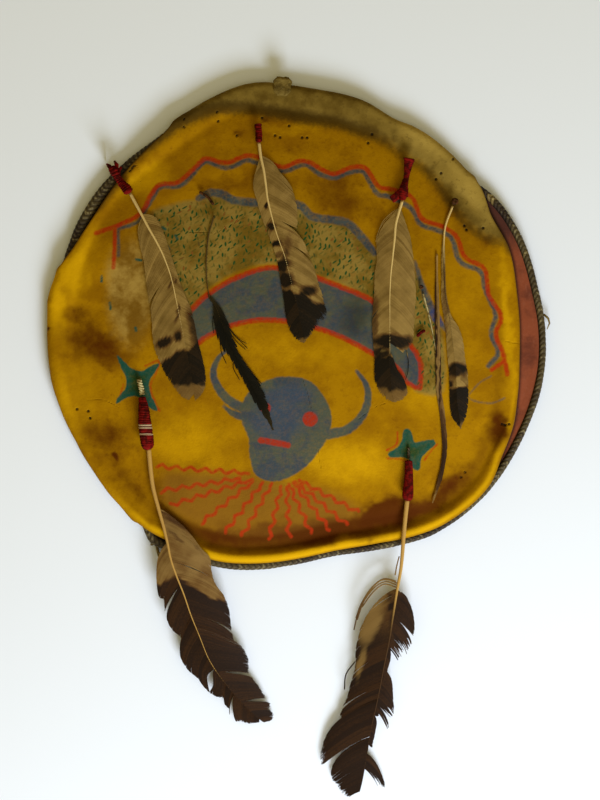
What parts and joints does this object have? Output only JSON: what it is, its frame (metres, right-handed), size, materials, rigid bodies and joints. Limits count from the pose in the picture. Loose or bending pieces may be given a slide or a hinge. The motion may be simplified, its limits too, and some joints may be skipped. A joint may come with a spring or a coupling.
{
  "type": "hide shield",
  "caption": "Round painted hide shield with a laced rim, a stretched hide cover and hanging feathers, lying on its back with the painted face up.",
  "frame": {"origin": "middle of the box's underside, on the floor that the shield lies on", "axes": "+Z out of the painted face, +Y from the hanging feathers to the top of the shield"},
  "size_m": [0.4604, 0.665, 0.0319],
  "materials": {
    "painted_rawhide": "matt red paint on stiff rawhide",
    "dark_lacing": "dark worn hide lacing",
    "painted_hide": "yellow paint on soft hide, with painted bands and figures",
    "bare_hide": "bare soiled hide",
    "barred_feather": "tan feather vane with dark bars",
    "dark_feather": "dark brown feather vane",
    "red_cloth": "wool cloth",
    "pale_thread": "pale thread and stems"
  },
  "bodies": {
    "root": {"rawhide_disc": "painted_rawhide", "rim_lacing": "dark_lacing", "hide_cover": "painted_hide", "hanging_tab": "bare_hide", "thong_loop": "dark_lacing", "barred_feather_left": "barred_feather", "barred_feather_centre": "barred_feather", "barred_feather_right": "barred_feather", "narrow_barred_feather": "barred_feather", "edge_on_feather": "dark_feather", "small_black_feather": "dark_feather", "plume_stem": "pale_thread", "long_feather_left": "dark_feather", "long_feather_right": "dark_feather", "cloth_wrap_left": "red_cloth", "cloth_wrap_centre": "red_cloth", "cloth_wrap_right": "red_cloth", "cloth_wrap_long_left": "red_cloth", "cloth_wrap_long_right": "red_cloth", "thong_small_feather": "dark_lacing", "thread_coil_left": "pale_thread", "tie_long_right": "dark_lacing", "knot_narrow_feather": "dark_lacing", "knot_plume": "dark_lacing", "red_tuft": "red_cloth"}
  },
  "joints": []
}
